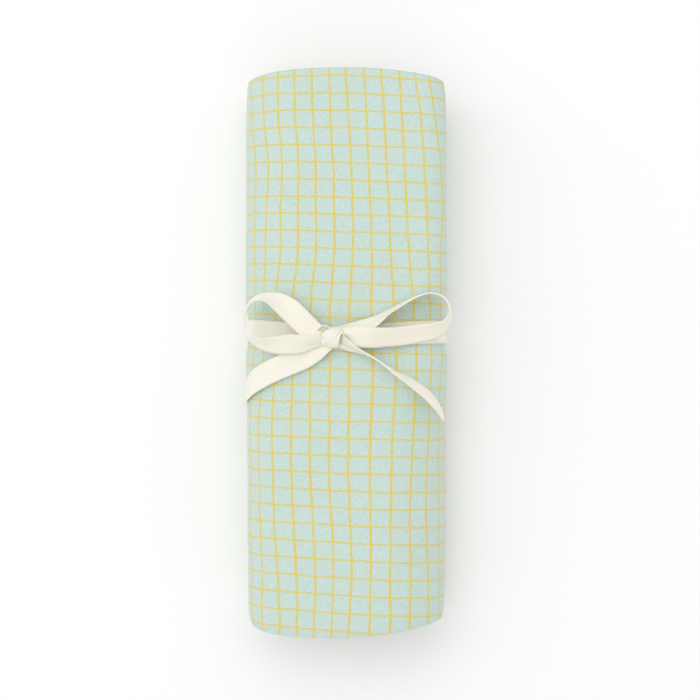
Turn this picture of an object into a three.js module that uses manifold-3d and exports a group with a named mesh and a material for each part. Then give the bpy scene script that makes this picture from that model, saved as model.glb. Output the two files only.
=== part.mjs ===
// A fitted crib sheet of printed cotton, folded lengthwise into a strip, rolled up and tied
// round the middle with a flat woven tape in a bow.
//
// The roll lies on its back. X runs across it, Y along it and Z up, in millimetres, with the
// origin on the surface in the middle of the flat spot that it rests on. The bow is on top.

import * as THREE from "three";
import { mergeVertices } from "three/addons/utils/BufferGeometryUtils.js";
import Module from "manifold-3d";

const wasm = await Module();
wasm.setup();

// The wound strip: four layers of cloth, so many turns, and the points of one turn
const STRIP_THICKNESS = 3;
const TURNS = 8;
const STEPS = 48;
const LOOSE_END_ANGLE = -38;

// Nominal half length, and how far the middle of the front and the sides of each end reach
const HALF_LENGTH = 125;
const TOP_END = { sign: 1, front: 125, side: 121.6, frontX: -3, furrow: 2.2 };
const BOTTOM_END = { sign: -1, front: 124.8, side: 118.8, frontX: -12, furrow: 2.4 };
const SHOULDER_LENGTH = 9;
const SHOULDER_DROP = 2.3;

// Sizes of the oval section along the roll: half widths, height, and the radii of its corners
const SECTIONS = table("along left right top frontLeft frontRight backLeft backRight", [
  [-125, 45.2, 44.0, 54.9, 15, 27, 22, 24],
  [-75, 45.5, 44.8, 56.1, 13, 30, 24, 22],
  [-32, 45.7, 44.6, 56.0, 14, 28, 25, 22],
  [9, 46.9, 45.2, 55.6, 22, 15, 25, 23],
  [45, 46.9, 44.5, 56.2, 26, 10, 23, 25],
  [88, 46.9, 44.4, 55.9, 27, 9, 22, 26],
  [125, 46.5, 44.2, 55.3, 25, 11, 22, 25],
]);
const CROWN = 1.6;
const FLAT_SPOT_SINK = 3.4;

// Cross rows along the roll, close together at the shoulders and under the tape
const SHOULDER_ROWS = [123.8, 122, 119.5, 116];
const OPEN_ROWS = [-104, -90, -75, -60, -46, -32, -20, 32, 46, 60, 75, 90, 104];
const TIE_ROWS = [-15, -9.6, -7.6, -5.6, 0, 5.6, 7.6, 9.6, 15];

// The tape and the waist that it pulls in
const TAPE_WIDTH = 10;
const TAPE_THICKNESS = 1;
const TAPE_GAP = 0.3;
const TIE_ALONG = 9.6;
const TIE_DIP = 3.2;
const TIE_DIP_X = -5;
const TIE_DIP_REACH = 26;
const WAIST_DEPTH = TAPE_THICKNESS + 2 * TAPE_GAP;
const WAIST_FLOOR = 5.6;
const WAIST_EDGE = 9.6;
const WAIST_FOLLOW = 30;
const BRIDGE_START = 0.84;
const BRIDGE_END = 0.96;

// Routes of the tape from the knot: lean is the angle that it stands at, on its left-hand edge
const LEFT_LOOP = table("x y z lean width", [
  [-4.5, 6.6, 58.4, 25, 4.5],
  [-11.5, 8.8, 59.2, 25, 6.8],
  [-16.3, 10.9, 59.6, 14, 9.8],
  [-20.1, 14.2, 59.8, 6, 10],
  [-24.0, 18.0, 60.0, 10, 10],
  [-28.6, 21.4, 60.2, 32, 10],
  [-33.6, 23.6, 60.3, 60, 10],
  [-38.6, 23.5, 60.4, 76, 10],
  [-42.2, 20.8, 60.4, 84, 10],
  [-43.9, 16.2, 60.4, 86, 10],
  [-43.9, 11.4, 60.3, 84, 10],
  [-42.0, 7.0, 60.3, 78, 10],
  [-38.0, 4.3, 60.4, 66, 10],
  [-31.8, 3.4, 60.6, 46, 10],
  [-25.5, 3.7, 60.7, 34, 10],
  [-19.5, 3.9, 60.5, 39, 9.6],
  [-14.8, 4.3, 60.0, 56, 9],
  [-10.5, 5.0, 59.2, 64, 7.5],
  [-4.5, 6.2, 58.2, 66, 5],
]);
const RIGHT_LOOP = table("x y z lean width", [
  [-4.5, 7.2, 58.2, 34, 4.6],
  [-0.9, 7.8, 58.9, 30, 6.6],
  [2.3, 7.4, 60.0, 18, 8.2],
  [5.7, 7.0, 60.6, 18, 9.2],
  [10.5, 6.6, 60.6, 26, 9.8],
  [17.5, 6.8, 60.2, 36, 10],
  [24.7, 7.4, 59.8, 38, 10],
  [31.6, 8.5, 59.8, 42, 10],
  [38.2, 9.8, 59.8, 49, 10],
  [42.9, 12.9, 60.0, 68, 10],
  [44.6, 17.6, 60.0, 82, 10],
  [43.2, 22.4, 60.0, 84, 10],
  [39.8, 25.0, 60.0, 86, 10],
  [35.2, 25.6, 60.0, 88, 10],
  [29.5, 23.8, 60.0, 86, 10],
  [22.5, 20.0, 60.2, 82, 10],
  [17.9, 17.4, 60.1, 78, 10],
  [14.4, 14.8, 59.6, 70, 9.6],
  [11.0, 12.8, 58.5, 58, 8.8],
  [7.0, 11.2, 57.5, 42, 7.4],
  [1.4, 9.7, 56.9, 26, 6.2],
  [-4.5, 8.4, 57.3, 22, 4.6],
]);
const LEFT_TAIL = table("x y z lean width", [
  [-5.0, 6.0, 56.6, 20, 5],
  [-9.8, 3.1, 56.5, 16, 7.0],
  [-13.4, 0.8, 56.0, 8, 8.8],
  [-18.3, -1.9, 55.8, 2, 9.8],
  [-23.3, -4.0, 55.7, 0, 10],
  [-28.4, -6.1, 55.4, 0, 10],
  [-33.5, -8.4, 54.4, 6, 10],
  [-38.2, -11.1, 51.8, 22, 10],
  [-42.4, -13.8, 48.5, 42, 10],
  [-45.0, -16.3, 44.1, 60, 10],
  [-46.2, -18.6, 39.8, 76, 10],
]);
const RIGHT_TAIL = table("x y z lean width", [
  [-4.2, 6.6, 57.4, 38, 5],
  [-1.6, 4.5, 58.0, 50, 7.2],
  [1.4, 2.8, 58.6, 66, 8.6],
  [5.1, 1.1, 59.4, 79, 9.5],
  [9.8, -1.1, 60.1, 86, 10],
  [14.4, -3.8, 60.4, 90, 10],
  [18.2, -6.5, 60.5, 94, 10],
  [22.0, -9.1, 60.5, 99, 10],
  [25.8, -11.3, 60.3, 106, 10],
  [29.9, -14.1, 59.4, 111, 10],
  [34.2, -17.4, 57.6, 113, 10],
  [37.2, -20.3, 55.9, 112, 10],
  [39.7, -23.3, 53.9, 107, 10],
  [42.0, -27.1, 51.4, 100, 10],
]);
const ROUTE_STEPS = 3;

// The knot: a barrel of wrapped tape with its axis across the roll, turned a little
const KNOT_PROFILE = [
  [0, -3.9],
  [2.9, -3.9],
  [4.2, -2.8],
  [4.7, 0],
  [4.2, 2.8],
  [2.9, 3.9],
  [0, 3.9],
];
const KNOT_PLACE = new THREE.Vector3(-6.0, 6.9, 57.9);
const KNOT_FLATTEN = 0.93;
const KNOT_TURN = 8;
const KNOT_SIDES = 16;

const CLOTH_COLOUR = 0xc9e0d6;
const TAPE_COLOUR = 0xf3ece0;

function table(columns, rows) {
  const names = columns.split(" ");
  return rows.map((row) => Object.fromEntries(names.map((name, at) => [name, row[at]])));
}

function blend(low, high, value) {
  return THREE.MathUtils.smoothstep(value, low, high);
}

// The section's sizes at one place along the roll, blended between the two nearest rows
function sectionAt(along) {
  const last = SECTIONS.length - 1;
  const next = SECTIONS.findIndex((row, at) => at > 0 && (row.along >= along || at === last));
  const from = SECTIONS[next - 1];
  const to = SECTIONS[next];
  const share = blend(from.along, to.along, along);
  const keys = Object.keys(from);
  return Object.fromEntries(keys.map((key) => [key, THREE.MathUtils.lerp(from[key], to[key], share)]));
}

// The outer line of the section, from the loose end up the right side, over the front and round
function outlineAt(along) {
  const size = sectionAt(along);
  const bottom = -FLAT_SPOT_SINK;
  const loose = THREE.MathUtils.degToRad(LOOSE_END_ANGLE);
  const quarter = Math.PI / 2;
  const lowRight = [size.right - size.backRight, bottom + size.backRight, size.backRight];
  const path = new THREE.Path();
  path.absarc(...lowRight, loose, 0);
  path.absarc(size.right - size.frontRight, size.top - size.frontRight, size.frontRight, 0, quarter);
  path.absarc(size.frontLeft - size.left, size.top - size.frontLeft, size.frontLeft, quarter, 2 * quarter);
  path.absarc(size.backLeft - size.left, bottom + size.backLeft, size.backLeft, 2 * quarter, 3 * quarter);
  path.absarc(...lowRight, -quarter, loose);
  const centre = new THREE.Vector2((size.right - size.left) / 2, (size.top + bottom) / 2);
  const half = new THREE.Vector2((size.right + size.left) / 2, (size.top - bottom) / 2);
  const points = path.getSpacedPoints(STEPS);
  for (const point of points) {
    const upper = Math.max(0, (point.y - centre.y) / half.y);
    point.y -= CROWN * upper * ((point.x - centre.x) / half.x) ** 2;
  }
  return { points, centre, half };
}

// A point of the wound strip: turns from the loose end, and millimetres in from the outer line
function windingPoint(outline, step, inward) {
  const point = outline.points[step <= STEPS ? step : step % STEPS];
  const x = outline.centre.x + (point.x - outline.centre.x) * (1 - inward / outline.half.x);
  const z = outline.centre.y + (point.y - outline.centre.y) * (1 - inward / outline.half.y);
  return new THREE.Vector2(x, z);
}

// The tape's place along the roll: it dips towards the knot on the front
function tieAlong(x, z) {
  const front = blend(15, 45, z);
  return TIE_ALONG - 0.01 * x - front * TIE_DIP * Math.exp(-(((x - TIE_DIP_X) / TIE_DIP_REACH) ** 2));
}

function waist(along) {
  return 1 - blend(WAIST_FLOOR, WAIST_EDGE, Math.abs(along - TIE_ALONG));
}

// How far an end reaches at one place of the section
function endReach(end, x, z) {
  const front = blend(8, 54, z) * Math.max(0, 1 - ((x - end.frontX) / 52) ** 2);
  return THREE.MathUtils.lerp(end.side, end.front, front);
}

// Points and faces of one closed solid
class Solid {
  constructor() {
    this.points = [];
    this.faces = [];
  }

  point(x, y, z) {
    this.points.push(x, y, z);
    return this.points.length / 3 - 1;
  }

  polygon(corners, flip = false) {
    const order = flip ? [...corners].reverse() : corners;
    for (let at = 2; at < order.length; at += 1) {
      this.faces.push(order[0], order[at - 1], order[at]);
    }
  }

  // Quads between two rows of points, the second row on the left of the first
  band(first, second, closed = false, flip = false) {
    const count = closed ? first.length : first.length - 1;
    for (let at = 0; at < count; at += 1) {
      const next = (at + 1) % first.length;
      this.polygon([first[at], second[at], second[next], first[next]], flip);
    }
  }

  geometry() {
    const shape = new THREE.BufferGeometry();
    shape.setAttribute("position", new THREE.Float32BufferAttribute(this.points, 3));
    shape.setIndex(this.faces);
    return shape;
  }
}

// One cross row of the roll's outside, from the loose end round to the step below it
function crossRow(solid, along) {
  const outline = outlineAt(along);
  const end = along > 0 ? TOP_END : BOTTOM_END;
  const follow = 1 - blend(WAIST_EDGE, WAIST_FOLLOW, Math.abs(along - TIE_ALONG));
  const toEnd = Math.max(0, (SHOULDER_LENGTH - HALF_LENGTH + Math.abs(along)) / SHOULDER_LENGTH);
  const pressed = WAIST_DEPTH * waist(along);
  const row = [];
  for (let step = 0; step <= STEPS; step += 1) {
    const rounding = step === 0 ? STRIP_THICKNESS / 4 : 0;
    const wound = (STRIP_THICKNESS * step) / STEPS;
    const inward = wound + rounding + pressed + SHOULDER_DROP * toEnd ** 2;
    const place = windingPoint(outline, step, inward);
    const z = Math.max(place.y, pressed);
    const stretch = endReach(end, place.x, z) / HALF_LENGTH;
    const y = along * THREE.MathUtils.lerp(1, stretch, blend(20, HALF_LENGTH, Math.abs(along)));
    row.push(solid.point(place.x, y + follow * (tieAlong(place.x, z) - TIE_ALONG), z));
  }
  return row;
}

// The wound end: one long ridge for each turn of the strip, with a furrow between turns
function closeEnd(solid, rim, end) {
  const outline = outlineAt(end.sign * HALF_LENGTH);
  const flip = end.sign < 0;
  const total = TURNS * STEPS;
  const ridge = [];
  const furrow = [];
  for (let step = 0; step <= total; step += 1) {
    const turn = step / STEPS;
    const settle = SHOULDER_DROP * Math.max(0, 1 - turn);
    const uneven = 0.7 * Math.sin(2.3 * turn) + 0.4 * Math.sin(5.1 * turn);
    const top = windingPoint(outline, step, STRIP_THICKNESS * (turn + 0.5) + settle);
    const low = windingPoint(outline, step, STRIP_THICKNESS * (turn + 1) + settle / 2);
    const lowest = STRIP_THICKNESS / 2;
    const ridgeY = endReach(end, top.x, top.y) - 1.1 * Math.min(1, turn) * (1 + uneven);
    const furrowY = endReach(end, low.x, low.y) - end.furrow - 1.1 * Math.min(1, turn) * (1 + uneven);
    ridge.push(solid.point(top.x, end.sign * ridgeY, Math.max(top.y, lowest)));
    furrow.push(solid.point(low.x, end.sign * furrowY, Math.max(low.y, 2 * lowest)));
  }
  solid.band(rim, ridge.slice(0, STEPS + 1), false, flip);
  solid.band(ridge, furrow, false, flip);
  solid.band(furrow.slice(0, total - STEPS + 1), ridge.slice(STEPS), false, flip);
  solid.polygon([rim[0], rim[STEPS], furrow[0], ridge[0]], flip);
  solid.polygon([rim[STEPS], ridge[STEPS], furrow[0]], flip);
  const eyeY = end.sign * (end.side - 4 * end.furrow);
  const eye = solid.point(outline.centre.x, eyeY, outline.centre.y);
  const hole = [ridge[total], ...furrow.slice(total - STEPS).reverse()];
  for (let at = 0; at < hole.length; at += 1) {
    solid.polygon([hole[at], hole[(at + 1) % hole.length], eye], flip);
  }
}

function makeRoll() {
  const solid = new Solid();
  const tieRows = TIE_ROWS.map((offset) => TIE_ALONG + offset);
  const shoulders = [...SHOULDER_ROWS, ...SHOULDER_ROWS.map((along) => -along)];
  const places = [...shoulders, ...OPEN_ROWS, ...tieRows].sort((first, second) => first - second);
  const rows = places.map((along) => crossRow(solid, along));
  for (let at = 1; at < rows.length; at += 1) {
    solid.band(rows[at - 1], rows[at], true);
  }
  closeEnd(solid, rows.at(-1), TOP_END);
  closeEnd(solid, rows[0], BOTTOM_END);
  return solid.geometry();
}

// The tape round the roll, in the waist; it bridges the step under the loose end
function makeTieBand() {
  const solid = new Solid();
  const outline = outlineAt(TIE_ALONG);
  const edges = [[], [], [], []];
  const outer = WAIST_DEPTH - TAPE_GAP - TAPE_THICKNESS;
  const inner = WAIST_DEPTH - TAPE_GAP;
  for (let step = 0; step < STEPS; step += 1) {
    const share = step / STEPS;
    const wound = STRIP_THICKNESS * share * (1 - blend(BRIDGE_START, BRIDGE_END, share));
    const outside = windingPoint(outline, step, wound + outer);
    const inside = windingPoint(outline, step, wound + inner);
    const outsideZ = Math.max(outside.y, outer);
    const insideZ = Math.max(inside.y, inner);
    const along = tieAlong(inside.x, insideZ);
    const low = along - TAPE_WIDTH / 2;
    const high = along + TAPE_WIDTH / 2;
    edges[0].push(solid.point(outside.x, low, outsideZ));
    edges[1].push(solid.point(outside.x, high, outsideZ));
    edges[2].push(solid.point(inside.x, high, insideZ));
    edges[3].push(solid.point(inside.x, low, insideZ));
  }
  for (let side = 0; side < 4; side += 1) {
    solid.band(edges[side], edges[(side + 1) % 4], true);
  }
  return solid.geometry();
}

// A stretch of tape along one of the routes
function makeRibbon(route) {
  const solid = new Solid();
  const centres = new THREE.CatmullRomCurve3(route.map((row) => new THREE.Vector3(row.x, row.y, row.z)));
  const stances = new THREE.CatmullRomCurve3(route.map((row) => new THREE.Vector3(row.lean, row.width, 0)));
  centres.curveType = "catmullrom";
  stances.curveType = "catmullrom";
  const edges = [[], [], [], []];
  const count = ROUTE_STEPS * (route.length - 1);
  for (let step = 0; step <= count; step += 1) {
    const centre = centres.getPoint(step / count);
    const heading = centres.getTangent(step / count);
    const stance = stances.getPoint(step / count);
    const leftward = new THREE.Vector3(-heading.y, heading.x, 0).normalize();
    const upward = new THREE.Vector3().crossVectors(heading, leftward);
    const lean = THREE.MathUtils.degToRad(stance.x);
    const across = leftward.clone().multiplyScalar(Math.cos(lean)).addScaledVector(upward, Math.sin(lean));
    const through = new THREE.Vector3().crossVectors(heading, across);
    const corners = [[1, 1], [1, -1], [-1, -1], [-1, 1]];
    corners.forEach(([side, face], at) => {
      const corner = centre.clone();
      corner.addScaledVector(across, (side * stance.y) / 2);
      corner.addScaledVector(through, (face * TAPE_THICKNESS) / 2);
      edges[at].push(solid.point(corner.x, corner.y, corner.z));
    });
  }
  for (let side = 0; side < 4; side += 1) {
    solid.band(edges[side], edges[(side + 1) % 4], false, true);
  }
  solid.polygon(edges.map((edge) => edge[0]));
  solid.polygon(edges.map((edge) => edge.at(-1)), true);
  return solid.geometry();
}

function makeKnot() {
  const profile = KNOT_PROFILE.map(([radius, height]) => new THREE.Vector2(radius, height));
  const shape = new THREE.LatheGeometry(profile, KNOT_SIDES);
  shape.rotateZ(-Math.PI / 2);
  shape.scale(1, 1, KNOT_FLATTEN);
  shape.rotateZ(THREE.MathUtils.degToRad(-KNOT_TURN));
  shape.translate(KNOT_PLACE.x, KNOT_PLACE.y, KNOT_PLACE.z);
  shape.deleteAttribute("normal");
  shape.deleteAttribute("uv");
  const merged = mergeVertices(shape, 1e-4);
  const corners = [...merged.getIndex().array];
  const faces = [];
  for (let at = 0; at < corners.length; at += 3) {
    const face = corners.slice(at, at + 3);
    if (new Set(face).size === 3) {
      faces.push(...face);
    }
  }
  merged.setIndex(faces);
  return merged;
}

function toManifold(shape) {
  const vertProperties = new Float32Array(shape.getAttribute("position").array);
  const triVerts = new Uint32Array(shape.getIndex().array);
  return new wasm.Manifold(new wasm.Mesh({ numProp: 3, vertProperties, triVerts }));
}

function joined(shapes) {
  const [first, ...others] = shapes.map(toManifold);
  const whole = others.reduce((sum, next) => sum.add(next), first);
  const mesh = whole.getMesh();
  const shape = new THREE.BufferGeometry();
  shape.setAttribute("position", new THREE.BufferAttribute(mesh.vertProperties, 3));
  shape.setIndex(new THREE.BufferAttribute(mesh.triVerts, 1));
  return shape;
}

function fabric(colour, roughness) {
  return new THREE.MeshStandardMaterial({ color: colour, roughness, metalness: 0 });
}

function named(name, shape, material) {
  shape.computeVertexNormals();
  const piece = new THREE.Mesh(shape, material);
  piece.name = name;
  return piece;
}

const routes = [LEFT_LOOP, RIGHT_LOOP, LEFT_TAIL, RIGHT_TAIL];
const tieShape = joined([makeTieBand(), makeKnot(), ...routes.map(makeRibbon)]);

const sheet = new THREE.Group();
sheet.add(named("sheet_roll", makeRoll(), fabric(CLOTH_COLOUR, 0.92)));
sheet.add(named("tie_tape", tieShape, fabric(TAPE_COLOUR, 0.88)));

export default sheet;
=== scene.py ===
"""A fitted crib sheet of thin printed cotton, rolled up and tied round the middle with a flat
woven tape in a bow. X runs across the roll, Y along it, and Z up through the bow."""

import math

import bpy
import numpy as np
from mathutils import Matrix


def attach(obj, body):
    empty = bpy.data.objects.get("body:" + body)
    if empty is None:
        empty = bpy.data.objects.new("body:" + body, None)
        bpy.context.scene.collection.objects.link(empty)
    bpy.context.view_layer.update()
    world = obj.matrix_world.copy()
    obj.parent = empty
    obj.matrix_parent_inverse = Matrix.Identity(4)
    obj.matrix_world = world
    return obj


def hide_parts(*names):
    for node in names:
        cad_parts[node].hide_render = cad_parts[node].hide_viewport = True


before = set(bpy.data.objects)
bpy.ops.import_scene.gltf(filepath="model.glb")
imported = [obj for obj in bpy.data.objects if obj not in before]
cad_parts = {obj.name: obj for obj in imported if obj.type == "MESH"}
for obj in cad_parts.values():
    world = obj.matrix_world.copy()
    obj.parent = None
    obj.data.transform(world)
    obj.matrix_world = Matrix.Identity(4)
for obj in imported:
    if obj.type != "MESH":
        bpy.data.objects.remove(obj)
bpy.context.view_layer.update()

# The camera looks straight down on the roll from just under a metre above the surface,
# with the top end of the roll at the top of the picture.
MM = 0.001
CAMERA_PLACE = (1.43, 1.21, 878)
CAMERA_LENS = 97.6

camera = bpy.data.objects.new("camera", bpy.data.cameras.new("camera"))
camera.data.lens = CAMERA_LENS
camera.data.sensor_width = 36
camera.data.clip_start = 0.01
camera.data.clip_end = 20
camera.location = [value * MM for value in CAMERA_PLACE]
bpy.context.collection.objects.link(camera)
bpy.context.scene.camera = camera

# The sheet is one piece of thin cotton with a stitched hem. It is folded lengthwise into a strip
# of four layers, then wound up into an oval roll. The loose end lies low on the right side,
# held by the tape.
LAYER_DEPTHS = (0.35, 1.1, 1.85, 2.6)
STRIP_THICKNESS = 3.0
CLOTH_THICKNESS = 0.28
TURNS = 9.3
LOOSE_END_ANGLE = -38
LOOSE_END_THIN = 0.5
LOOSE_END_LENGTH = 0.05
HEM_WIDTH = 9
OUTER_TURN_LENGTH = 250
HEM_END = HEM_WIDTH / OUTER_TURN_LENGTH
HEM_EDGE = 0.006
HEM_RISE = 0.3
CROWN = 1.6
FLAT_SPOT_SINK = 3.4
FLOOR_SOFTNESS = 0.8
FLOOR_REST = 0.2
ARC_POINTS = 25

# How far each end reaches, 1 for the top end and -1 for the bottom end: at its left, its right
# and the middle of its front. Its shoulder drops by its own share at the left and right corners.
HALF_LENGTH = 125
STRAIGHT_LENGTH = 20
END_LEFTS = {1: 120.8, -1: 117.0}
END_RIGHTS = {1: 118.2, -1: 118.8}
END_SIDE_X = 25
END_FRONTS = {1: 125.0, -1: 124.8}
END_FRONT_X = {1: -3, -1: -12}
END_FRONT_WIDTH = 52
END_FRONT_HEIGHTS = (8, 54)
END_UNEVEN = 1.1
END_WAVES = ((0.7, 2.3), (0.4, 5.1))
SHOULDER_LENGTH = 9
SHOULDER_DROP = 2.1
SHOULDER_DEPTH = 2.6
CORNER_DROPS = {1: (0.7, 0.6), -1: (1.55, 0.6)}
CORNER_X = (8, 38)


def table(columns, rows):
    """Rows of numbers as a dictionary of named columns."""
    return dict(zip(columns.split(), np.array(rows, float).T))


# The oval section along the roll: half widths, height, and the radii of its four corners
SECTIONS = table("along left right top front_left front_right back_left back_right", [
    [-125, 45.2, 44.0, 54.9, 15, 27, 22, 24],
    [-75, 45.5, 44.8, 56.1, 13, 30, 24, 22],
    [-32, 45.7, 44.6, 56.0, 14, 28, 25, 22],
    [9, 46.9, 45.2, 55.6, 22, 15, 25, 23],
    [45, 46.9, 44.5, 56.2, 26, 10, 23, 25],
    [88, 46.9, 44.4, 55.9, 27, 9, 22, 26],
    [125, 46.5, 44.2, 55.3, 25, 11, 22, 25],
])


def smooth(low, high, value):
    """0 below low, 1 above high, and a smooth blend between them."""
    share = np.clip((value - low) / (high - low), 0, 1)
    return share * share * (3 - 2 * share)


def section_at(along):
    """The sizes of the oval section at one place along the roll."""
    places = SECTIONS["along"]
    at = int(np.clip(np.searchsorted(places, along), 1, len(places) - 1))
    share = smooth(places[at - 1], places[at], along)
    return {name: size[at - 1] + (size[at] - size[at - 1]) * share for name, size in SECTIONS.items()}


def arc(centre_x, centre_z, radius, start, end):
    angles = np.radians(np.linspace(start, end, ARC_POINTS))
    return np.column_stack([centre_x + radius * np.cos(angles), centre_z + radius * np.sin(angles)])


def outline_at(along, shares):
    """Points of the section's outer line, from the loose end up the right side and over the front."""
    size = section_at(along)
    left, right, top, bottom = -size["left"], size["right"], size["top"], -FLAT_SPOT_SINK
    low_right = (right - size["back_right"], bottom + size["back_right"], size["back_right"])
    line = np.vstack([
        arc(*low_right, LOOSE_END_ANGLE, 0),
        arc(right - size["front_right"], top - size["front_right"], size["front_right"], 0, 90),
        arc(left + size["front_left"], top - size["front_left"], size["front_left"], 90, 180),
        arc(left + size["back_left"], bottom + size["back_left"], size["back_left"], 180, 270),
        arc(*low_right, -90, LOOSE_END_ANGLE),
    ])
    lengths = np.append(0, np.cumsum(np.hypot(*np.diff(line, axis=0).T)))
    x = np.interp(shares * lengths[-1], lengths, line[:, 0])
    z = np.interp(shares * lengths[-1], lengths, line[:, 1])
    centre = ((right + left) / 2, (top + bottom) / 2)
    half = ((right - left) / 2, (top - bottom) / 2)
    z = z - CROWN * np.maximum(0, (z - centre[1]) / half[1]) * ((x - centre[0]) / half[0]) ** 2
    return x, z, centre, half


# Where the tape lies along the roll: it slants a little, and dips towards the knot on the front
TIE_ALONG = 9.6
TIE_SLANT = 0.01
TIE_DIP = 3.2
TIE_DIP_X = -5
TIE_DIP_REACH = 26
TIE_DIP_HEIGHTS = (15, 45)

# How the tape pulls the cloth in under it, and how deep into the roll that fades out
WAIST_DEPTH = 1.1
WAIST_FLOOR = 5.2
WAIST_EDGE = 12.5
WAIST_FOLLOW = 30
WAIST_FADE = 12
TAPE_ROOM = 0.55

# Soft dents and creases that the tape pulls into the front, as places on the roll in x and
# along, the way that each runs, its half length, its half width and its depth
DENTS = table("x along turn length width depth", [
    [-23, -70, -17, 15, 4.2, 0.60],
    [29, -73, 12, 10, 5.5, 0.55],
    [33, -95, 5, 10, 6.5, 0.60],
    [-30, 24, 78, 16, 4.0, 0.55],
    [-12, 27, 96, 14, 3.6, 0.45],
    [9, 26, 88, 13, 3.4, 0.50],
    [27, 25, 99, 16, 4.2, 0.55],
    [-22, -14, 101, 15, 3.8, 0.45],
    [-2, -12, 84, 12, 3.4, 0.45],
    [19, -13, 74, 15, 4.0, 0.50],
    [36, -6, 92, 13, 3.6, 0.40],
    [-34, 62, 12, 22, 7.0, 0.45],
    [20, 84, 165, 24, 8.0, 0.50],
    [-10, -62, 170, 26, 8.0, 0.50],
    [-28, -100, 155, 20, 6.0, 0.40],
    [4, 106, 20, 20, 6.0, 0.40],
])
DENT_HEIGHTS = (20, 40)
DENT_FADE = 14


def dent_depth(x, along):
    """How far the front is pressed in by the dents at points of one cross row."""
    depth = np.zeros(len(x))
    for place_x, place_along, turn, length, width, deep in zip(*DENTS.values()):
        turned = math.radians(turn)
        ahead = (x - place_x) * math.cos(turned) + (along - place_along) * math.sin(turned)
        aside = (along - place_along) * math.cos(turned) - (x - place_x) * math.sin(turned)
        depth = depth + deep * np.exp(-(ahead / length) ** 2 - (aside / width) ** 2)
    return depth


def tie_along(x, z):
    """The tape's place along the roll."""
    front = smooth(*TIE_DIP_HEIGHTS, z)
    return TIE_ALONG - TIE_SLANT * x - front * TIE_DIP * np.exp(-(((x - TIE_DIP_X) / TIE_DIP_REACH) ** 2))


def end_reach(end, x, z):
    """How far an end of the roll reaches at one place of its section."""
    middle = np.maximum(0, 1 - ((x - END_FRONT_X[end]) / END_FRONT_WIDTH) ** 2)
    front = smooth(*END_FRONT_HEIGHTS, z) * middle
    side = END_LEFTS[end] + (END_RIGHTS[end] - END_LEFTS[end]) * smooth(-END_SIDE_X, END_SIDE_X, x)
    return side + (END_FRONTS[end] - side) * front


def corner_share(end, x):
    """The share of its drop that the shoulder of an end has from its left to its right corner."""
    left_drop, right_drop = CORNER_DROPS[end]
    start, full = CORNER_X
    return 1 + (left_drop - 1) * smooth(-start, -full, x) + (right_drop - 1) * smooth(start, full, x)


def wound_place(along, turns, depth):
    """Points of the wound strip on one cross row, at one depth in the strip."""
    x, z, centre, half = outline_at(along, turns % 1)
    end = 1 if along > 0 else -1
    from_tie = abs(along - TIE_ALONG)
    to_end = max(0, (SHOULDER_LENGTH - HALF_LENGTH + abs(along)) / SHOULDER_LENGTH)
    thin = LOOSE_END_THIN + (1 - LOOSE_END_THIN) * smooth(0, LOOSE_END_LENGTH, turns)
    wound = STRIP_THICKNESS * turns + STRIP_THICKNESS - (STRIP_THICKNESS - depth) * thin
    wound = wound - HEM_RISE * (1 - smooth(HEM_END, HEM_END + HEM_EDGE, turns))
    drop = SHOULDER_DROP * corner_share(end, x) * to_end ** 2 * np.exp(-wound / SHOULDER_DEPTH)
    pressed = WAIST_DEPTH * (1 - smooth(WAIST_FLOOR, WAIST_EDGE, from_tie)) * np.exp(-wound / WAIST_FADE)
    dented = dent_depth(x, along) * smooth(*DENT_HEIGHTS, z) * np.exp(-wound / DENT_FADE)
    inward = wound + drop + pressed + dented
    x = centre[0] + (x - centre[0]) * (1 - inward / half[0])
    z = centre[1] + (z - centre[1]) * (1 - inward / half[1])
    rest = FLOOR_REST + TAPE_ROOM * (1 - smooth(WAIST_FLOOR, 2 * WAIST_FLOOR, from_tie))
    z = rest + FLOOR_SOFTNESS * np.logaddexp(0, (z - rest) / FLOOR_SOFTNESS)
    stretch = end_reach(end, x, z) / HALF_LENGTH
    y = along * (1 + (stretch - 1) * smooth(STRAIGHT_LENGTH, HALF_LENGTH, abs(along)))
    follow = 1 - smooth(WAIST_EDGE, WAIST_FOLLOW, from_tie)
    y = y + follow * (tie_along(x, z) - TIE_ALONG)
    uneven = sum(height * np.sin(pace * turns) for height, pace in END_WAVES)
    y = y - end * to_end ** 2 * END_UNEVEN * np.minimum(1, turns) * (1 + uneven)
    return np.column_stack([x, y, z])


def layer_rows(start, end, depth, places):
    """Cross rows of one layer of the strip, as (along, depth, angle round a fold)."""
    low, high = min(start, end), max(start, end)
    inside = sorted((place for place in places if low < place < high), reverse=start > end)
    return [(along, depth, None) for along in (start, *inside, end)]


def fold_rows(end, depth_from, depth_to, count):
    """Cross rows round the fold that joins two layers at one end."""
    angles = np.linspace(-90, 90, count + 2)[1:-1]
    return [(end * HALF_LENGTH, (depth_from, depth_to), angle) for angle in angles]


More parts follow.
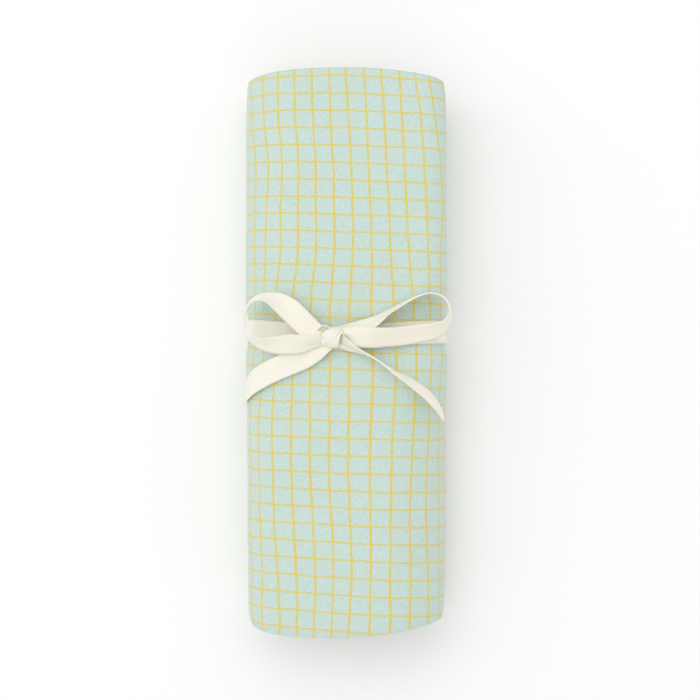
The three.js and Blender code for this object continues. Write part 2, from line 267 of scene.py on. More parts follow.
# The layers in the order of the cloth, from one cut edge of the strip to the other. The layer
# that shows has its cross rows close together, closest under the tape and at the shoulders.
LAYER_END = 124.4
CUT_ENDS = (-121.5, -122.8)
INNER_FOLD_BACK = 0.9
OUTER_STEPS = 128
INNER_STEPS = 40
OUTER_TURNS = 1.0625
fine_places = np.concatenate([
    np.arange(-119, -8, 3.0),
    np.arange(-7, 27, 1.6),
    np.arange(28.5, 118, 3.0),
    [-124, -123, -121.8, -120.5, 119.2, 120.5, 121.8, 123, 124],
])
plain_places = [-121, -117, -95, -60, -25, -3, 2, 9.6, 17, 23, 45, 80, 117, 121]
strip_rows = [
    *layer_rows(CUT_ENDS[0], LAYER_END, LAYER_DEPTHS[3], plain_places),
    *fold_rows(1, LAYER_DEPTHS[3], LAYER_DEPTHS[0], 7),
    *layer_rows(LAYER_END, -LAYER_END, LAYER_DEPTHS[0], fine_places),
    *fold_rows(-1, LAYER_DEPTHS[0], LAYER_DEPTHS[1], 5),
    *layer_rows(-LAYER_END, LAYER_END - 1, LAYER_DEPTHS[1], plain_places),
    *fold_rows(1, LAYER_DEPTHS[1], LAYER_DEPTHS[2], 3),
    *layer_rows(LAYER_END - 1, CUT_ENDS[1], LAYER_DEPTHS[2], plain_places),
]
outer_columns = np.arange(0, OUTER_TURNS + 1e-6, 1 / OUTER_STEPS)
inner_columns = np.arange(OUTER_TURNS + 1 / INNER_STEPS, TURNS, 1 / INNER_STEPS)
columns = np.concatenate([outer_columns, inner_columns])


def strip_row(along, depth, angle):
    """The points of one cross row, in millimetres."""
    if angle is None:
        return wound_place(along, columns, depth)
    first = wound_place(along, columns, depth[0])
    last = wound_place(along, columns, depth[1])
    end = 1 if along > 0 else -1
    radius = np.hypot(last[:, 0] - first[:, 0], last[:, 2] - first[:, 2]) / 2
    turn = math.radians(angle)
    middle = (first + last) / 2
    place = middle + (last - first) / 2 * math.sin(turn)
    inner_fold = INNER_FOLD_BACK if depth == (LAYER_DEPTHS[1], LAYER_DEPTHS[2]) else 0
    place[:, 1] = middle[:, 1] + end * (radius * (math.cos(turn) - 1) - inner_fold)
    return place


grid = np.array([strip_row(*row) for row in strip_rows])

# The printed check: where its long lines cross the front, measured over the surface from the
# middle, and how its short lines rise to the left, fall to the right and slip along.
CHECK_PITCH = 7.55
CHECK_START = 0.4
WRAP_PITCH = 7.9
CHECK = table("along l6 l5 l4 l2 middle r2 r3 r4 r5 rise_left fall_right slip", [
    [-122, -44.0, -37.6, -29.4, -14.4, 0.4, 18.6, 27.4, 37.6, 47.4, 3.7, 2.1, -1.5],
    [-112, -44.0, -37.5, -29.2, -14.1, 1.0, 18.9, 27.9, 37.9, 47.3, 2.9, 2.0, -0.7],
    [-92, -43.6, -37.2, -30.2, -13.6, 2.0, 18.8, 28.3, 37.9, 46.4, 2.5, 2.1, 0.0],
    [-73, -45.0, -38.0, -31.6, -14.5, 1.5, 19.2, 27.9, 36.7, 46.5, 2.2, 1.6, 0.1],
    [-53, -44.0, -38.7, -32.1, -15.9, 0.6, 19.4, 28.6, 37.0, 45.5, 1.9, 1.2, 0.0],
    [-30, -45.2, -38.9, -32.6, -15.9, 0.9, 20.2, 29.8, 38.4, 45.6, 1.5, 0.8, 0.1],
    [-10, -43.6, -37.4, -31.4, -15.9, 1.0, 21.5, 30.5, 38.0, 44.6, 1.6, 0.9, 0.0],
    [27, -42.8, -37.3, -31.2, -15.3, 1.4, 20.2, 28.6, 36.2, 42.0, 1.5, 1.6, -0.3],
    [40, -44.0, -37.0, -29.3, -13.6, 2.5, 19.3, 27.3, 35.8, 41.3, 1.3, 1.4, -0.5],
    [65, -43.8, -36.2, -29.1, -13.4, 2.4, 18.2, 25.8, 34.6, 43.3, 1.1, 1.4, -0.9],
    [79, -43.3, -35.2, -28.3, -13.5, 1.8, 17.3, 25.2, 33.8, 41.9, 0.9, 1.5, -0.9],
    [97, -46.0, -37.6, -30.0, -14.7, 0.8, 16.4, 24.0, 32.6, 39.2, 0.3, 1.8, -0.8],
    [116, -47.6, -38.7, -30.4, -15.1, -0.5, 15.1, 22.9, 29.9, 35.8, -0.5, 2.5, -0.6],
])
KNOWN_LINES = {"l6": -6, "l5": -5, "l4": -4, "l2": -2, "middle": 0, "r2": 2, "r3": 3, "r4": 4, "r5": 5}
WRAP_LINES = 300

# The short lines lean at the left and right of the front, and run level again further round
LEAN_LEFT_WIDTH = 39
LEAN_RIGHT_WIDTH = 40
LEAN_MOST = 1.15
LEAN_FRONT = 45
LEAN_FADE = 40
FRONT_TURNS = 0.7
FRONT_HEIGHT = 30


def bend_through(places, values, at):
    """A smooth bend through a column of values, read at one place."""
    slopes = np.gradient(values, places)
    low = int(np.clip(np.searchsorted(places, at) - 1, 0, len(places) - 2))
    length = places[low + 1] - places[low]
    share = np.clip((at - places[low]) / length, 0, 1)
    rise = values[low + 1] - values[low]
    leave = slopes[low] * length - rise
    arrive = rise - slopes[low + 1] * length
    return values[low] + share * rise + share * (1 - share) * (leave * (1 - share) + arrive * share)


def check_at(along, across):
    """Counts of long check lines, and how far short ones lean and slip, across one cross row."""
    row = {name: bend_through(CHECK["along"], column, along) for name, column in CHECK.items()}
    places = np.array([row[name] for name in KNOWN_LINES])
    numbers = list(KNOWN_LINES.values())
    wraps = WRAP_LINES * WRAP_PITCH
    places = np.concatenate([[places[0] - wraps], places, [places[-1] + wraps]])
    counts = [numbers[0] - WRAP_LINES, *numbers, numbers[-1] + WRAP_LINES]
    near = np.exp(-(np.maximum(0, np.abs(across) - LEAN_FRONT) / LEAN_FADE) ** 2)
    left = row["rise_left"] * np.clip(-across / LEAN_LEFT_WIDTH, 0, LEAN_MOST)
    right = row["fall_right"] * np.clip(across / LEAN_RIGHT_WIDTH, 0, LEAN_MOST)
    return np.interp(across, places, counts), (left - right) * near, row["slip"]


long_counts = np.zeros(grid.shape[:2])
short_counts = np.zeros(grid.shape[:2])
across_mm = np.zeros(grid.shape[:2])
for at, strip in enumerate(strip_rows):
    shape = wound_place(strip[0], columns, LAYER_DEPTHS[0])
    lengths = np.append(0, np.cumsum(np.hypot(np.diff(shape[:, 0]), np.diff(shape[:, 2]))))
    front = np.flatnonzero((columns < FRONT_TURNS) & (shape[:, 2] > FRONT_HEIGHT))
    middle = np.interp(0, -shape[front, 0], lengths[front])
    long_counts[at], lean, slip = check_at(grid[at, 0, 1], middle - lengths)
    short_counts[at] = (grid[at, :, 1] - lean - slip - CHECK_START) / CHECK_PITCH
    across_mm[at] = lengths

# Round each fold the short lines go on by the length of cloth, so the count is carried over
steps = np.linalg.norm(np.diff(grid, axis=0), axis=2)
along_mm = np.vstack([np.zeros(len(columns)), np.cumsum(steps, axis=0)])
is_front = [row[1] == LAYER_DEPTHS[0] for row in strip_rows]
first_front = is_front.index(True)
last_front = len(is_front) - 1 - is_front[::-1].index(True)
before = short_counts[first_front] + (along_mm[first_front] - along_mm) / CHECK_PITCH
after = short_counts[last_front] - (along_mm - along_mm[last_front]) / CHECK_PITCH
short_counts[:first_front] = before[:first_front]
short_counts[last_front + 1:] = after[last_front + 1:]

# The first turn has every cross row. The turns inside it keep those at the ends and a few more.
INNER_PLACES = (-60, 9.6, 45)
INNER_EVERY = 12
ENDS_FROM = 116


def kept_inside(at, along, depth):
    """Whether the inner turns keep a cross row."""
    spaced = depth == LAYER_DEPTHS[0] and at % INNER_EVERY == 0
    return abs(along) > ENDS_FROM or along in INNER_PLACES or spaced


inner_rows = [at for at, strip in enumerate(strip_rows) if kept_inside(at, strip[0], strip[1])]


class ClothMesh:
    """Gathers points, faces and the two maps of a sheet of cloth."""

    def __init__(self):
        self.points = []
        self.faces = []
        self.maps = {"check": [], "cloth": []}

    def add(self, points, check, cloth):
        first = len(self.points)
        self.points.extend((np.asarray(points) * MM).tolist())
        self.maps["check"].extend(np.asarray(check).tolist())
        self.maps["cloth"].extend(np.asarray(cloth).tolist())
        return np.arange(first, len(self.points))

    def join(self, low, high):
        """Faces between two rows of points."""
        self.faces.extend(zip(low[:-1], low[1:], high[1:], high[:-1]))

    def make(self, name):
        mesh = bpy.data.meshes.new(name)
        mesh.from_pydata(self.points, [], self.faces)
        corners = np.zeros(len(mesh.loops), int)
        mesh.loops.foreach_get("vertex_index", corners)
        for map_name, values in self.maps.items():
            layer = mesh.uv_layers.new(name=map_name)
            layer.data.foreach_set("uv", np.array(values)[corners].ravel())
        mesh.polygons.foreach_set("use_smooth", [True] * len(mesh.polygons))
        piece = bpy.data.objects.new(name, mesh)
        bpy.context.collection.objects.link(piece)
        return piece


def thicken(piece, thickness):
    """Gives a sheet its thickness, equally on both sides, and keeps the result."""
    modifier = piece.modifiers.new("thickness", "SOLIDIFY")
    modifier.thickness = thickness * MM
    modifier.offset = 0
    bpy.context.view_layer.objects.active = piece
    bpy.ops.object.modifier_apply(modifier=modifier.name)


cloth_mesh = ClothMesh()
joint = len(outer_columns) - 1
check_map = np.stack([long_counts, short_counts], axis=2)
cloth_map = np.stack([across_mm, along_mm], axis=2)
outer = np.array([
    cloth_mesh.add(grid[at, :joint + 1], check_map[at, :joint + 1], cloth_map[at, :joint + 1])
    for at in range(len(strip_rows))
])
inner = np.array([
    cloth_mesh.add(grid[at, joint + 1:], check_map[at, joint + 1:], cloth_map[at, joint + 1:])
    for at in inner_rows
])
for low, high in zip(outer[:-1], outer[1:]):
    cloth_mesh.join(low, high)
for at in range(1, len(inner_rows)):
    between = outer[inner_rows[at - 1]:inner_rows[at] + 1, joint][::-1]
    cloth_mesh.faces.append([inner[at - 1, 0], inner[at, 0], *between])
    cloth_mesh.join(inner[at - 1], inner[at])
roll = cloth_mesh.make("rolled_sheet")
thicken(roll, CLOTH_THICKNESS)


class Nodes:
    """Shorthand for a material's or a group's nodes."""

    def __init__(self, tree):
        self.tree = tree

    def add(self, kind, **settings):
        node = self.tree.nodes.new(kind)
        for name, value in settings.items():
            setattr(node, name, value)
        return node

    def link(self, source, target):
        self.tree.links.new(source, target)

    def feed(self, target, value):
        if isinstance(value, bpy.types.NodeSocket):
            self.link(value, target)
        else:
            target.default_value = value

    def math(self, operation, *values):
        node = self.add("ShaderNodeMath", operation=operation)
        for target, value in zip(node.inputs, values):
            self.feed(target, value)
        return node.outputs[0]

    def times(self, first, second):
        return self.math("MULTIPLY", first, second)

    def plus(self, first, second):
        return self.math("ADD", first, second)

    def minus(self, first, second):
        return self.math("SUBTRACT", first, second)

    def span(self, value, low, high, to_low=0.0, to_high=1.0):
        """Maps a range smoothly onto another."""
        node = self.add("ShaderNodeMapRange", interpolation_type="SMOOTHSTEP")
        for target, given in zip(node.inputs, (value, low, high, to_low, to_high)):
            self.feed(target, given)
        return node.outputs[0]

    def noise(self, vector, scale, detail, roughness=0.5):
        node = self.add("ShaderNodeTexNoise", noise_dimensions="3D")
        self.feed(node.inputs["Vector"], vector)
        node.inputs["Scale"].default_value = scale
        node.inputs["Detail"].default_value = detail
        node.inputs["Roughness"].default_value = roughness
        return node.outputs

    def streaks(self, vector, scales, detail, roughness):
        """Noise with one scale across the map and another along it."""
        scaled = self.add("ShaderNodeVectorMath", operation="MULTIPLY")
        self.feed(scaled.inputs[0], vector)
        scaled.inputs[1].default_value = (*scales, 1)
        return self.noise(scaled.outputs[0], 1.0, detail, roughness)["Fac"]

    def split(self, vector):
        """The two places on a map."""
        node = self.add("ShaderNodeSeparateXYZ")
        self.link(vector, node.inputs[0])
        return node.outputs[0], node.outputs[1]

    def mix(self, share, first, second):
        node = self.add("ShaderNodeMix", data_type="RGBA")
        self.feed(node.inputs["Factor"], share)
        self.feed(node.inputs[6], first)
        self.feed(node.inputs[7], second)
        return node.outputs[2]

    def bump(self, height, strength, distance):
        """A bump of the surface, with its distance in millimetres."""
        node = self.add("ShaderNodeBump")
        node.inputs["Strength"].default_value = strength
        node.inputs["Distance"].default_value = distance * MM
        self.link(height, node.inputs["Height"])
        return node.outputs[0]


# The weave that the cotton and the tape share, on a map in millimetres. Threads go over and
# under each other, some are thick and some thin, and single threads are lighter or darker.
# The Shade output also carries painted shade, darker along the gaps between the threads.
THREAD_PITCH = 0.62
GAP_SHADE = 0.10
SLUB_SCALES = (2.6, 0.22)
SHADE_SCALES = (3.4, 0.55)
WARP_SHARE = 0.6
WEFT_SHARE = 0.4


def weave_group():
    group = bpy.data.node_groups.new("plain_weave", "ShaderNodeTree")
    for name, kind in (("Map", "NodeSocketVector"), ("Threads", "NodeSocketFloat")):
        group.interface.new_socket(name=name, in_out="INPUT", socket_type=kind)
    for name in ("Height", "Slubs", "Shade"):
        group.interface.new_socket(name=name, in_out="OUTPUT", socket_type="NodeSocketFloat")
    nodes = Nodes(group)
    given = nodes.add("NodeGroupInput").outputs
    made = nodes.add("NodeGroupOutput").inputs
    across, along = nodes.split(given["Map"])

    turn = nodes.times(given["Threads"], math.pi)
    warp_wave = nodes.math("SINE", nodes.times(across, turn))
    weft_wave = nodes.math("SINE", nodes.times(along, turn))
    over = nodes.times(warp_wave, weft_wave)
    nodes.link(nodes.plus(nodes.times(over, 0.5), 0.5), made["Height"])

    warp = nodes.streaks(given["Map"], SLUB_SCALES, 2.0, 0.6)
    weft = nodes.streaks(given["Map"], SLUB_SCALES[::-1], 2.0, 0.6)
    slubs = nodes.plus(nodes.times(warp, WARP_SHARE), nodes.times(weft, WEFT_SHARE))
    nodes.link(slubs, made["Slubs"])

    fine = nodes.streaks(given["Map"], SHADE_SCALES, 1.0, 0.5)
    cross = nodes.streaks(given["Map"], SHADE_SCALES[::-1], 1.0, 0.5)
    # Painted shade: the colour is darkened along the gaps between the threads, where shade falls between
    # them.
    thread_turn = 2 * math.pi / THREAD_PITCH
    warp_gap = nodes.times(nodes.math("COSINE", nodes.times(across, thread_turn)), fine)
    weft_gap = nodes.times(nodes.math("COSINE", nodes.times(along, thread_turn)), cross)
    painted_gap_shade = nodes.times(nodes.math("MAXIMUM", warp_gap, weft_gap), GAP_SHADE)
    nodes.link(nodes.minus(nodes.times(fine, cross), painted_gap_shade), made["Shade"])
    return group


plain_weave = weave_group()


def linear(red, green, blue):
    """A colour given by its sRGB values, 0 to 255."""
    parts = [value / 255 for value in (red, green, blue)]
    return (*[part / 12.92 if part <= 0.04045 else ((part + 0.055) / 1.055) ** 2.4 for part in parts], 1)


def new_material(name):
    material = bpy.data.materials.new(name)
    material.use_nodes = True
    nodes = Nodes(material.node_tree)
    return material, nodes, material.node_tree.nodes["Principled BSDF"].inputs


def woven(nodes, threads):
    """The map in millimetres, and the weave on it with so many threads to a millimetre."""
    cloth = nodes.add("ShaderNodeUVMap", uv_map="cloth").outputs[0]
    weave = nodes.add("ShaderNodeGroup", node_tree=plain_weave)
    nodes.link(cloth, weave.inputs["Map"])
    weave.inputs["Threads"].default_value = threads
    return cloth, weave.outputs


# The cotton is mint with slightly paler threads. A row of stitches holds the hem.
MINT = linear(198, 219, 210)
MINT_PALE = linear(211, 227, 220)
MINT_DEEP = linear(176, 203, 196)
MUSTARD = linear(222, 200, 86)
MUSTARD_DEEP = linear(248, 200, 46)
THREAD = linear(226, 236, 230)
COTTON_THREADS = 2.4
LONG_LINE = 0.41
SHORT_LINE = 0.36
SHORT_STRENGTH = 0.88
LINE_SPACING = 7.7
LINE_WANDER = 0.12
LINE_RAGGED = 0.35
LINE_EDGE_INNER = 0.22
LINE_EDGE_OUTER = 0.38
FADED_SCALES = (0.12, 0.12)
STITCH_ROW = 7.6
STITCH_LENGTH = 2.6
STITCH_RISE = 3.5
HEM_GROOVE = -3.0


def line_mask(nodes, count, wander, ragged, half_width):
    """A printed line at each whole count: 1 on the line and 0 beside it."""
    count = nodes.plus(count, nodes.times(nodes.minus(wander, 0.5), LINE_WANDER))
    offset = nodes.minus(count, nodes.math("ROUND", count))
    distance = nodes.times(nodes.math("ABSOLUTE", offset), LINE_SPACING)
    rough = nodes.plus(distance, nodes.times(nodes.minus(ragged, 0.5), LINE_RAGGED))
    return nodes.span(rough, half_width - LINE_EDGE_INNER, half_width + LINE_EDGE_OUTER, 1.0, 0.0)


def cotton_material():
    material, nodes, surface = new_material("printed_cotton")
    cloth, weave = woven(nodes, COTTON_THREADS)
    slubs = weave["Slubs"]
    patches = nodes.noise(cloth, 0.045, 3.0)["Fac"]
    ground = nodes.mix(nodes.span(slubs, 0.38, 0.62), MINT, MINT_PALE)
    ground = nodes.mix(nodes.times(nodes.span(patches, 0.3, 0.7), 0.35), ground, MINT_PALE)
    # The darker mint follows single darker threads, and the painted shade along the gaps between threads.
    ground = nodes.mix(nodes.span(weave["Shade"], 0.12, 0.34, 0.55, 0.0), ground, MINT_DEEP)

    wander = nodes.add("ShaderNodeSeparateColor")
    nodes.link(nodes.noise(cloth, 0.11, 2.0)["Color"], wander.inputs[0])
    ragged = nodes.noise(cloth, 2.2, 3.0, 0.7)["Fac"]
    long_count, short_count = nodes.split(nodes.add("ShaderNodeUVMap", uv_map="check").outputs[0])
    long_lines = line_mask(nodes, long_count, wander.outputs[0], ragged, LONG_LINE)
    short_lines = line_mask(nodes, short_count, wander.outputs[1], ragged, SHORT_LINE)
    either = nodes.math("MAXIMUM", long_lines, nodes.times(short_lines, SHORT_STRENGTH))
    faded = nodes.span(nodes.streaks(cloth, FADED_SCALES, 2.0, 0.6), 0.35, 0.62, 0.78, 1.0)
    strength = nodes.times(nodes.times(either, faded), nodes.span(slubs, 0.34, 0.6, 0.78, 1.0))
    colour = nodes.mix(strength, ground, MUSTARD)
    colour = nodes.mix(nodes.times(nodes.times(long_lines, short_lines), 0.85), colour, MUSTARD_DEEP)

    across, along = nodes.split(cloth)
    from_row = nodes.math("ABSOLUTE", nodes.minus(across, STITCH_ROW))
    repeat = nodes.math("PINGPONG", along, STITCH_LENGTH / 2)
    stitch = nodes.times(nodes.span(from_row, 0.2, 0.4, 1.0, 0.0), nodes.span(repeat, 0.2, 0.45))
    colour = nodes.mix(nodes.times(stitch, 0.7), colour, THREAD)
    nodes.link(colour, surface["Base Color"])
    surface["Roughness"].default_value = 0.92
    surface["Specular IOR Level"].default_value = 0.2
    surface["Sheen Weight"].default_value = 0.24
    surface["Sheen Roughness"].default_value = 0.6

    height = nodes.plus(weave["Height"], nodes.times(slubs, 2.2))
    height = nodes.plus(height, nodes.span(from_row, 0.0, 1.2, HEM_GROOVE, 0.0))
    height = nodes.plus(height, nodes.times(stitch, STITCH_RISE))
    nodes.link(nodes.bump(height, 0.5, 0.12), surface["Normal"])
    return material


roll.data.materials.append(cotton_material())
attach(roll, "root")
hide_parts("sheet_roll")

# The tie is one length of flat woven cotton tape. It goes once round the roll, presses the
# cloth in a little, and is tied on the front in a bow with two loops and two free ends.
TAPE_WIDTH = 10.0
TAPE_THICKNESS = 0.45
TAPE_COLUMNS = 9
ROUTE_STEPS = 8
PLEATS = 1.5
PLEAT_START = 0.6
PLEAT_SHARE = 0.15
CUP = 0.35
CUP_MIDDLE = 0.4

# Routes of the tape's middle from the knot, with the angle that it stands at and its width
LEFT_LOOP = table("x y z lean width", [
    [-4.5, 6.6, 58.4, 25, 4.5],
    [-11.5, 8.8, 59.2, 25, 6.8],
    [-16.3, 10.9, 59.6, 14, 9.8],
    [-20.1, 14.2, 59.8, 6, 10],
    [-24.0, 18.0, 60.0, 10, 10],
    [-28.6, 21.4, 60.2, 32, 10],
    [-33.6, 23.6, 60.3, 60, 10],
    [-38.6, 23.5, 60.4, 76, 10],
    [-42.2, 20.8, 60.4, 84, 10],
    [-43.9, 16.2, 60.4, 86, 10],
    [-43.9, 11.4, 60.3, 84, 10],
    [-42.0, 7.0, 60.3, 78, 10],
    [-38.0, 4.3, 60.4, 66, 10],
    [-31.8, 3.4, 60.6, 46, 10],
    [-25.5, 3.7, 60.7, 34, 10],
    [-19.5, 3.9, 60.5, 39, 9.6],
    [-14.8, 4.3, 60.0, 56, 9],
    [-10.5, 5.0, 59.2, 64, 7.5],
    [-4.5, 6.2, 58.2, 66, 5],
])
RIGHT_LOOP = table("x y z lean width", [
    [-4.5, 7.2, 58.2, 34, 4.6],
    [-0.9, 7.8, 58.9, 30, 6.6],
    [2.3, 7.4, 60.0, 18, 8.2],
    [5.7, 7.0, 60.6, 18, 9.2],
    [10.5, 6.6, 60.6, 26, 9.8],
    [17.5, 6.8, 60.2, 36, 10],
    [24.7, 7.4, 59.8, 38, 10],
    [31.6, 8.5, 59.8, 42, 10],
    [38.2, 9.8, 59.8, 49, 10],
    [42.9, 12.9, 60.0, 68, 10],
    [44.6, 17.6, 60.0, 82, 10],
    [43.2, 22.4, 60.0, 84, 10],
    [39.8, 25.0, 60.0, 86, 10],
    [35.2, 25.6, 60.0, 88, 10],
    [29.5, 23.8, 60.0, 86, 10],
    [22.5, 20.0, 60.0, 82, 10],
    [17.9, 17.4, 59.8, 78, 10],
    [14.4, 14.8, 59.3, 70, 9.6],
    [11.0, 12.8, 58.5, 58, 8.8],
    [7.0, 11.2, 57.5, 42, 7.4],
    [1.4, 9.7, 56.9, 26, 6.2],
    [-4.5, 8.4, 57.3, 22, 4.6],
])
LEFT_TAIL = table("x y z lean width", [
    [-5.0, 6.0, 56.6, 20, 5],
    [-9.8, 3.1, 56.5, 16, 7.0],
    [-13.4, 0.8, 56.0, 8, 8.8],
    [-18.3, -1.9, 55.8, 2, 9.8],
    [-23.3, -4.0, 55.7, 0, 10],
    [-28.4, -6.1, 55.4, 0, 10],
    [-33.5, -8.4, 54.4, 6, 10],
    [-38.2, -11.1, 51.8, 22, 10],
    [-41.6, -13.8, 48.2, 40, 10],
    [-43.6, -16.2, 44.0, 58, 10],
    [-44.8, -18.4, 39.8, 74, 10],
])
RIGHT_TAIL = table("x y z lean width", [
    [-4.2, 6.6, 57.4, 38, 5],
    [-1.6, 4.5, 58.0, 50, 7.2],
    [1.4, 2.8, 58.6, 66, 8.6],
    [5.1, 1.1, 59.4, 79, 9.5],
    [9.8, -1.1, 60.1, 86, 10],
    [14.4, -3.8, 60.4, 90, 10],
    [18.2, -6.5, 60.5, 94, 10],
    [22.0, -9.1, 60.5, 99, 10],
    [25.8, -11.3, 60.3, 106, 10],
    [29.9, -14.1, 59.4, 111, 10],
    [34.2, -17.4, 57.6, 113, 10],
    [37.2, -20.3, 55.9, 112, 10],
    [39.7, -23.3, 53.9, 107, 10],
    [42.0, -27.1, 51.4, 100, 10],
])
KNOT_BACK = table("x y z lean width", [
    [-12.6, 8.6, 57.2, 60, 4.4],
    [-11.4, 10.6, 57.6, 76, 4.8],
    [-9.8, 11.5, 57.8, 82, 5.0],
    [-8.2, 11.0, 57.8, 84, 5.0],
    [-6.6, 9.2, 57.6, 80, 4.6],
])
KNOT_BACK_PLEATS = 0.03


def curve_through(values, steps):
    """A smooth curve through a column's values, with so many steps between two of them."""
    values = np.concatenate([[2 * values[0] - values[1]], values, [2 * values[-1] - values[-2]]])
    share = np.append(np.tile(np.arange(steps) / steps, len(values) - 3), 0)
    at = np.append(np.repeat(np.arange(1, len(values) - 2), steps), len(values) - 2)
    after = np.minimum(at + 1, len(values) - 1)
    beyond = np.minimum(at + 2, len(values) - 1)
    leave = (values[after] - values[at - 1]) / 2
    arrive = (values[beyond] - values[at]) / 2
    rise = values[after] - values[at]
    cubic = leave + arrive - 2 * rise
    square = 3 * rise - 2 * leave - arrive
    return ((cubic * share + square) * share + leave) * share + values[at]


def unit(vectors):
    return vectors / np.linalg.norm(vectors, axis=1)[:, None]


def lay_tape(mesh, centres, across, through, widths, start, cup=CUP, gather=PLEAT_SHARE):
    """A stretch of tape, cupped a little, with pleats where it is gathered narrower than it is."""
    lengths = start + np.append(0, np.cumsum(np.linalg.norm(np.diff(centres, axis=0), axis=1)))
    pleat = gather * np.maximum(0, TAPE_WIDTH - widths)
    rows = []
    for side in np.linspace(-1, 1, TAPE_COLUMNS):
        wave = math.sin(math.pi * PLEATS * side + PLEAT_START)
        lift = pleat * wave + cup * (side ** 2 - CUP_MIDDLE)
        points = centres + across * (side * widths / 2)[:, None] + through * lift[:, None]
        maps = np.column_stack([np.full(len(lengths), side * TAPE_WIDTH / 2), lengths])
        rows.append(mesh.add(points, maps, maps))
    for low, high in zip(rows[:-1], rows[1:]):
        mesh.join(low, high)
    return lengths[-1]


def lay_route(mesh, route, start, gather=PLEAT_SHARE):
    """A stretch of tape along one of its routes."""
    place = {name: curve_through(column, ROUTE_STEPS) for name, column in route.items()}
    centres = np.column_stack([place["x"], place["y"], place["z"]])
    heading = unit(np.gradient(centres, axis=0))
    leftward = unit(np.column_stack([-heading[:, 1], heading[:, 0], np.zeros(len(heading))]))
    upward = np.cross(heading, leftward)
    lean = np.radians(place["lean"])[:, None]
    across = leftward * np.cos(lean) + upward * np.sin(lean)
    through = np.cross(heading, across)
    return lay_tape(mesh, centres, across, through, place["width"], start, CUP, gather)


tape_mesh = ClothMesh()
laid = 0.0
for route in (LEFT_LOOP, RIGHT_LOOP, LEFT_TAIL, RIGHT_TAIL):
    laid = lay_route(tape_mesh, route, laid)
laid = lay_route(tape_mesh, KNOT_BACK, laid, KNOT_BACK_PLEATS)

# The band is the stretch of the tape that goes round the roll. It lies in the waist, bridges
# the step under the loose end, and its two ends come together under the knot.
BAND_STEPS = 180
BAND_LIFT = 0.12
BAND_START = 0.363
BAND_ROUND = 0.997
BRIDGE_START = 0.84
BRIDGE_END = 0.96
BAND_FLAT_HEIGHTS = (1, 8)
shares = np.linspace(BAND_START, BAND_START + BAND_ROUND, BAND_STEPS) % 1
x, z, centre, half = outline_at(TIE_ALONG, shares)
wound = STRIP_THICKNESS * shares * (1 - smooth(BRIDGE_START, BRIDGE_END, shares))
cloth_face = LAYER_DEPTHS[0] - CLOTH_THICKNESS / 2
inward = cloth_face + wound + WAIST_DEPTH - BAND_LIFT - TAPE_THICKNESS / 2
x = centre[0] + (x - centre[0]) * (1 - inward / half[0])
z = centre[1] + (z - centre[1]) * (1 - inward / half[1])
rest = FLOOR_REST + TAPE_THICKNESS / 2 - CLOTH_THICKNESS / 2
z = rest + FLOOR_SOFTNESS * np.logaddexp(0, (z - rest) / FLOOR_SOFTNESS)
band = np.column_stack([x, tie_along(x, z), z])
heading = unit(np.gradient(band, axis=0))
out = unit(np.column_stack([heading[:, 2], np.zeros(len(band)), -heading[:, 0]]))
across = np.cross(out, heading)
widths = np.full(len(band), TAPE_WIDTH)
laid = lay_tape(tape_mesh, band, across, out, widths, laid, CUP * smooth(*BAND_FLAT_HEIGHTS, z))

# The knot is the same tape, gathered and wrapped over the middle of the bow. It leans to the
# right at its top, where a narrow second fold of the tape shows beside it.
KNOT_PLACE = np.array([-6.9, 7.0, 57.9])
KNOT_TURN = -8
KNOT_RADII = (4.5, 4.3)
KNOT_HALF_WIDTH = 3.9
KNOT_TOP_SHIFT = 2.6
KNOT_TOP_NARROW = 0.25
KNOT_ARC = (-87, 267)
KNOT_STEPS = 73
KNOT_COLUMNS = 29
KNOT_MAP_RADIUS = 4

# Where its folds and creases run across the knot from -1 to 1, and their widths and depths
SECOND_FOLD = (0.66, 0.06, 0.30)
FOLD_LIP = (0.85, 0.12, 0.05)
BENT_CREASE = (-0.15, 0.10, 0.05)
LEFT_CREASE = (-0.55, 0.10, 0.045)
RIGHT_CREASE = (0.3, 0.09, 0.05)


def groove(side, place, width, depth):
    return depth * math.exp(-((side - place) / width) ** 2)


def knot_reach(side, angles):
    """How far out the knot's surface stands, with its rounded edges, second fold and creases."""
    top = np.cos(angles)
    shrink = 1 - 0.06 * side ** 2 - 0.24 * abs(side) ** 8
    fold = groove(side, *SECOND_FOLD) * smooth(-0.5, 0.6, top) - groove(side, *FOLD_LIP)
    crease = groove(side - 0.25 * math.sin(3 * side), *BENT_CREASE) * np.sin(1.5 * angles) ** 2
    crease = crease + groove(side, *LEFT_CREASE) * np.cos(angles - 0.6) ** 2
    crease = crease + groove(side, *RIGHT_CREASE) * smooth(0.1, 0.8, top)
    return shrink - fold - crease + 0.03 * np.sin(2 * angles + 3 * side)


angles = np.radians(np.linspace(*KNOT_ARC, KNOT_STEPS))
axis = np.array([math.cos(math.radians(KNOT_TURN)), math.sin(math.radians(KNOT_TURN)), 0])
side_way = np.array([-axis[1], axis[0], 0])
upward = np.array([0, 0, 1])
upper = np.maximum(0, np.cos(angles)) ** 1.6
rows = []
for side in np.linspace(-1, 1, KNOT_COLUMNS):
    reach = knot_reach(side, angles)[:, None]
    shift = (side * KNOT_HALF_WIDTH * (1 - KNOT_TOP_NARROW * upper) + KNOT_TOP_SHIFT * upper)[:, None]
    points = KNOT_PLACE + axis * shift
    points = points + side_way * KNOT_RADII[0] * np.cos(angles)[:, None] * reach
    points = points + upward * KNOT_RADII[1] * np.sin(angles)[:, None] * reach
    maps = np.column_stack([np.full(len(angles), side * TAPE_WIDTH / 2), laid + angles * KNOT_MAP_RADIUS])
    rows.append(tape_mesh.add(points, maps, maps))
for low, high in zip(rows[:-1], rows[1:]):
    tape_mesh.faces.extend(zip(low[:-1], high[:-1], high[1:], low[1:]))
tape = tape_mesh.make("bow_tape")
thicken(tape, TAPE_THICKNESS)

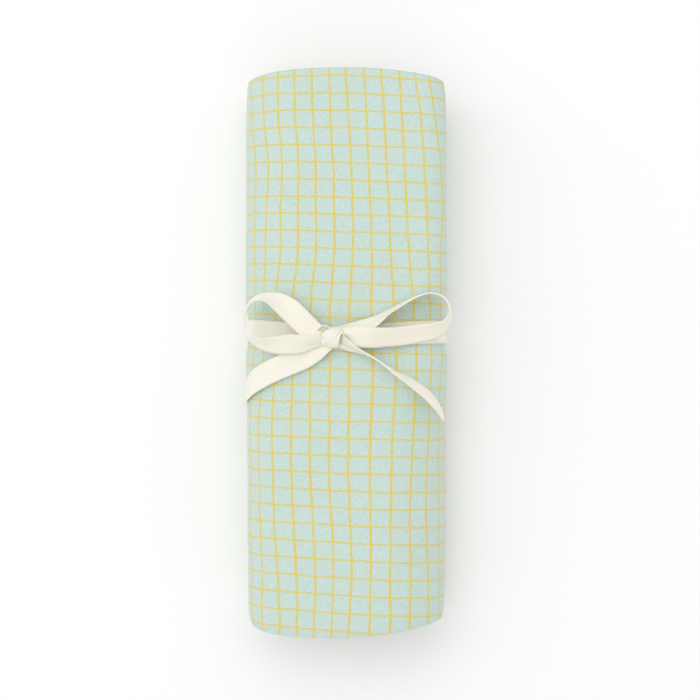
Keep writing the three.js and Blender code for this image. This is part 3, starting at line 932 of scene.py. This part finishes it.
# The tape is undyed cream cotton with slanting ribs and a thicker woven edge. It is thin
# enough for a little light to pass through.
CREAM = linear(247, 242, 229)
CREAM_DEEP = linear(235, 227, 208)
TAPE_THREADS = 1.9
RIB_TURN = 7.0
WOVEN_EDGE = (4.2, 4.6)


def tape_material():
    material, nodes, surface = new_material("woven_tape")
    cloth, weave = woven(nodes, TAPE_THREADS)
    thick = nodes.times(nodes.span(weave["Slubs"], 0.35, 0.7), 0.35)
    nodes.link(nodes.mix(thick, CREAM, CREAM_DEEP), surface["Base Color"])
    surface["Roughness"].default_value = 0.88
    surface["Specular IOR Level"].default_value = 0.25
    surface["Sheen Weight"].default_value = 0.15
    surface["Subsurface Weight"].default_value = 0.4
    surface["Subsurface Radius"].default_value = (1.0, 0.9, 0.75)
    surface["Subsurface Scale"].default_value = 0.8 * MM

    across, along = nodes.split(cloth)
    ribs = nodes.math("SINE", nodes.times(nodes.plus(across, along), RIB_TURN))
    edge = nodes.span(nodes.math("ABSOLUTE", across), *WOVEN_EDGE)
    height = nodes.plus(weave["Height"], nodes.times(ribs, 0.25))
    height = nodes.plus(height, nodes.times(edge, 1.2))
    nodes.link(nodes.bump(height, 0.4, 0.15), surface["Normal"])
    return material


tape.data.materials.append(tape_material())
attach(tape, "root")
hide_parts("tie_tape")

# The surface that the roll lies on isn't part of the sheet. It is plain, matt and nearly white,
# for the photograph shows the roll cut out on white.
FLOOR_SIZE = 6.0
FLOOR_WHITE = (0.96, 0.96, 0.96, 1)
floor_corners = [(-1, -1), (1, -1), (1, 1), (-1, 1)]
floor_points = [(x * FLOOR_SIZE / 2, y * FLOOR_SIZE / 2, 0) for x, y in floor_corners]
floor_mesh = bpy.data.meshes.new("floor")
floor_mesh.from_pydata(floor_points, [], [(0, 1, 2, 3)])
floor = bpy.data.objects.new("floor", floor_mesh)
bpy.context.collection.objects.link(floor)
floor_paint, nodes, surface = new_material("floor_paint")
surface["Base Color"].default_value = FLOOR_WHITE
surface["Roughness"].default_value = 0.9
floor_mesh.materials.append(floor_paint)

# The light is soft, as in a studio: one large panel overhead, a weaker one from the left, and
# a light room all round that keeps the shadows pale.
ROOM_STRENGTH = 0.80
world = bpy.data.worlds.new("room")
world.use_nodes = True
room = world.node_tree.nodes["Background"].inputs
room["Color"].default_value = (1, 1, 1, 1)
room["Strength"].default_value = ROOM_STRENGTH
bpy.context.scene.world = world


def panel(name, place, size, power):
    """A square light panel that faces the middle of the surface."""
    light = bpy.data.lights.new(name, "AREA")
    light.shape = "SQUARE"
    light.size = size
    light.energy = power
    lamp = bpy.data.objects.new(name, light)
    lamp.location = place
    direction = -np.array(place) / np.linalg.norm(place)
    swing = math.atan2(direction[0], -direction[1]) + math.pi
    lamp.rotation_euler = (math.acos(-direction[2]), 0, swing)
    bpy.context.collection.objects.link(lamp)


panel("overhead", (-0.25, 0.3, 1.5), 1.3, 7)
panel("side", (-1.3, 0.3, 0.9), 1.0, 1.4)
bpy.context.scene.view_settings.view_transform = "Standard"
